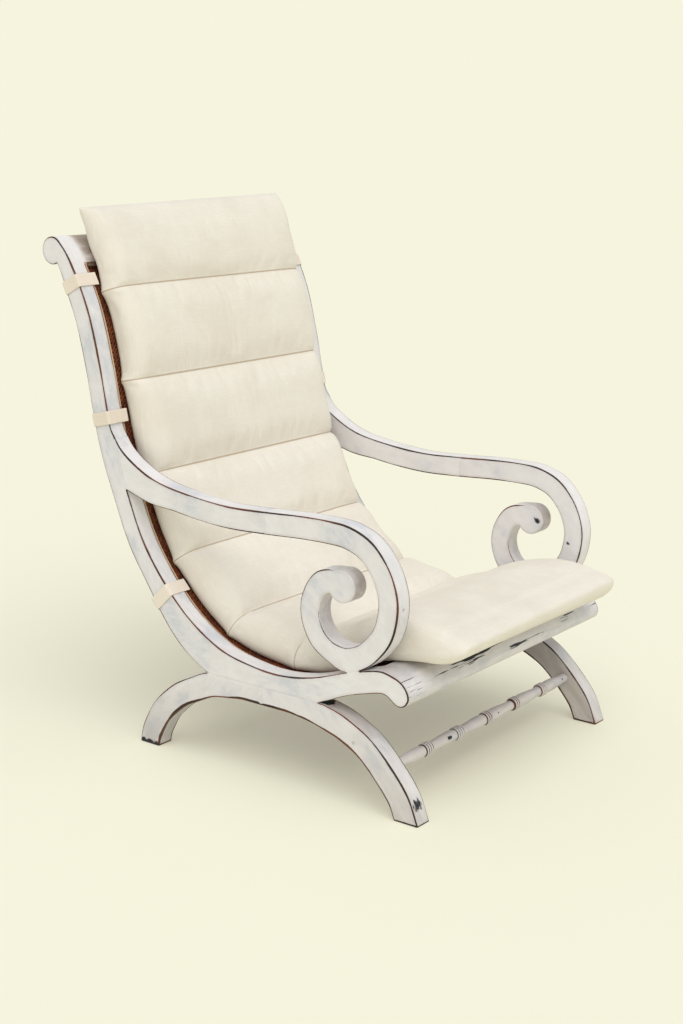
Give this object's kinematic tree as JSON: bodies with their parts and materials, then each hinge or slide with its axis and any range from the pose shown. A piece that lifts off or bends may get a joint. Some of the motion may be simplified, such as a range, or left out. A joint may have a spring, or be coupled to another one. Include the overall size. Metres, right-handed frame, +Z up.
{
  "type": "planters chair",
  "caption": "Low lounge chair with sawn curved side frames, scrolled arms, a caned seat and back in one sweep, turned stretchers and a long channelled cushion.",
  "frame": {"origin": "on the floor under the middle of the chair's bounding box", "axes": "+Z up, the chair faces -Y, +X is the sitter's left"},
  "size_m": [0.706, 0.9818, 1.0914],
  "materials": {
    "painted_wood": "worn off-white paint, satin, rubbed through to dark wood on the edges",
    "woven_cane": "dark red-brown woven cane, satin",
    "bead_wood": "bare tan wood, matte",
    "dowel_wood": "bare hardwood, matte",
    "cushion_cotton": "cream cotton cloth, matte",
    "strap_webbing": "peach-cream elastic webbing, matte"
  },
  "bodies": {
    "root": {"crest_rail": "painted_wood", "front_rail": "painted_wood", "cane_panel": "woven_cane", "cane_bead_top": "bead_wood", "cane_bead_bottom": "bead_wood", "front_stretcher": "painted_wood", "rear_stretcher": "painted_wood", "back_post_left": "painted_wood", "seat_rail_left": "painted_wood", "arm_left": "painted_wood", "arm_scroll_left": "painted_wood", "front_leg_left": "painted_wood", "rear_leg_left": "painted_wood", "cane_bead_left": "bead_wood", "crest_dowel_upper_left": "dowel_wood", "crest_dowel_lower_left": "dowel_wood", "front_dowel_lower_left": "dowel_wood", "front_dowel_upper_left": "dowel_wood", "rail_tenon_left": "dowel_wood", "arm_dowel_lower_left": "dowel_wood", "arm_dowel_upper_left": "dowel_wood", "scroll_dowel_left": "dowel_wood", "scroll_foot_dowel_left": "dowel_wood", "front_leg_dowel_left": "dowel_wood", "rear_leg_dowel_left": "dowel_wood", "bridge_dowel_left": "dowel_wood", "leg_plug_left": "painted_wood", "back_post_right": "painted_wood", "seat_rail_right": "painted_wood", "arm_right": "painted_wood", "arm_scroll_right": "painted_wood", "front_leg_right": "painted_wood", "rear_leg_right": "painted_wood", "cane_bead_right": "bead_wood", "crest_dowel_upper_right": "dowel_wood", "crest_dowel_lower_right": "dowel_wood", "front_dowel_lower_right": "dowel_wood", "front_dowel_upper_right": "dowel_wood", "rail_tenon_right": "dowel_wood", "arm_dowel_lower_right": "dowel_wood", "arm_dowel_upper_right": "dowel_wood", "scroll_dowel_right": "dowel_wood", "scroll_foot_dowel_right": "dowel_wood", "front_leg_dowel_right": "dowel_wood", "rear_leg_dowel_right": "dowel_wood", "bridge_dowel_right": "dowel_wood", "leg_plug_right": "painted_wood", "cushion": "cushion_cotton", "strap_upper": "strap_webbing", "strap_middle": "strap_webbing", "strap_lower": "strap_webbing"}
  },
  "joints": []
}
